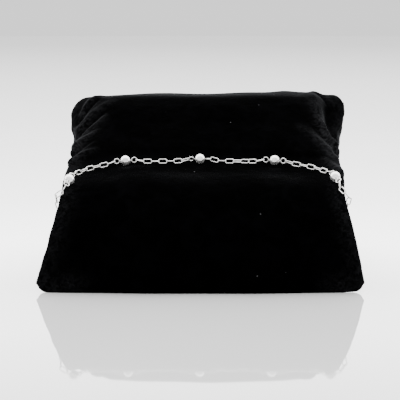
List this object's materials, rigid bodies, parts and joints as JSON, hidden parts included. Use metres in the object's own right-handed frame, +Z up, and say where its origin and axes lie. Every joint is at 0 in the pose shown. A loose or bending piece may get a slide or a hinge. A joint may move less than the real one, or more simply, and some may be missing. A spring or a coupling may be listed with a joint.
{
  "type": "chain bracelet on a display cushion",
  "caption": "Fine silver chain bracelet with small round beads set at even steps between long oval links, closed round a plump black velvet display cushion.",
  "frame": {"origin": "middle of the footprint, on the surface that the cushion rests on", "axes": "+X to the right along the cushion's front edge, +Y from the front edge to the back, +Z up"},
  "size_m": [0.0936, 0.0787, 0.0507],
  "materials": {
    "velvet": "black velvet with a faint sheen along its folds",
    "silver": "polished silver"
  },
  "bodies": {
    "root": {"cushion": "velvet", "chain": "silver", "bead_1": "silver", "bead_2": "silver", "bead_3": "silver", "bead_4": "silver", "bead_5": "silver", "bead_6": "silver", "bead_7": "silver", "bead_8": "silver", "bead_9": "silver", "clasp": "silver"}
  },
  "joints": []
}
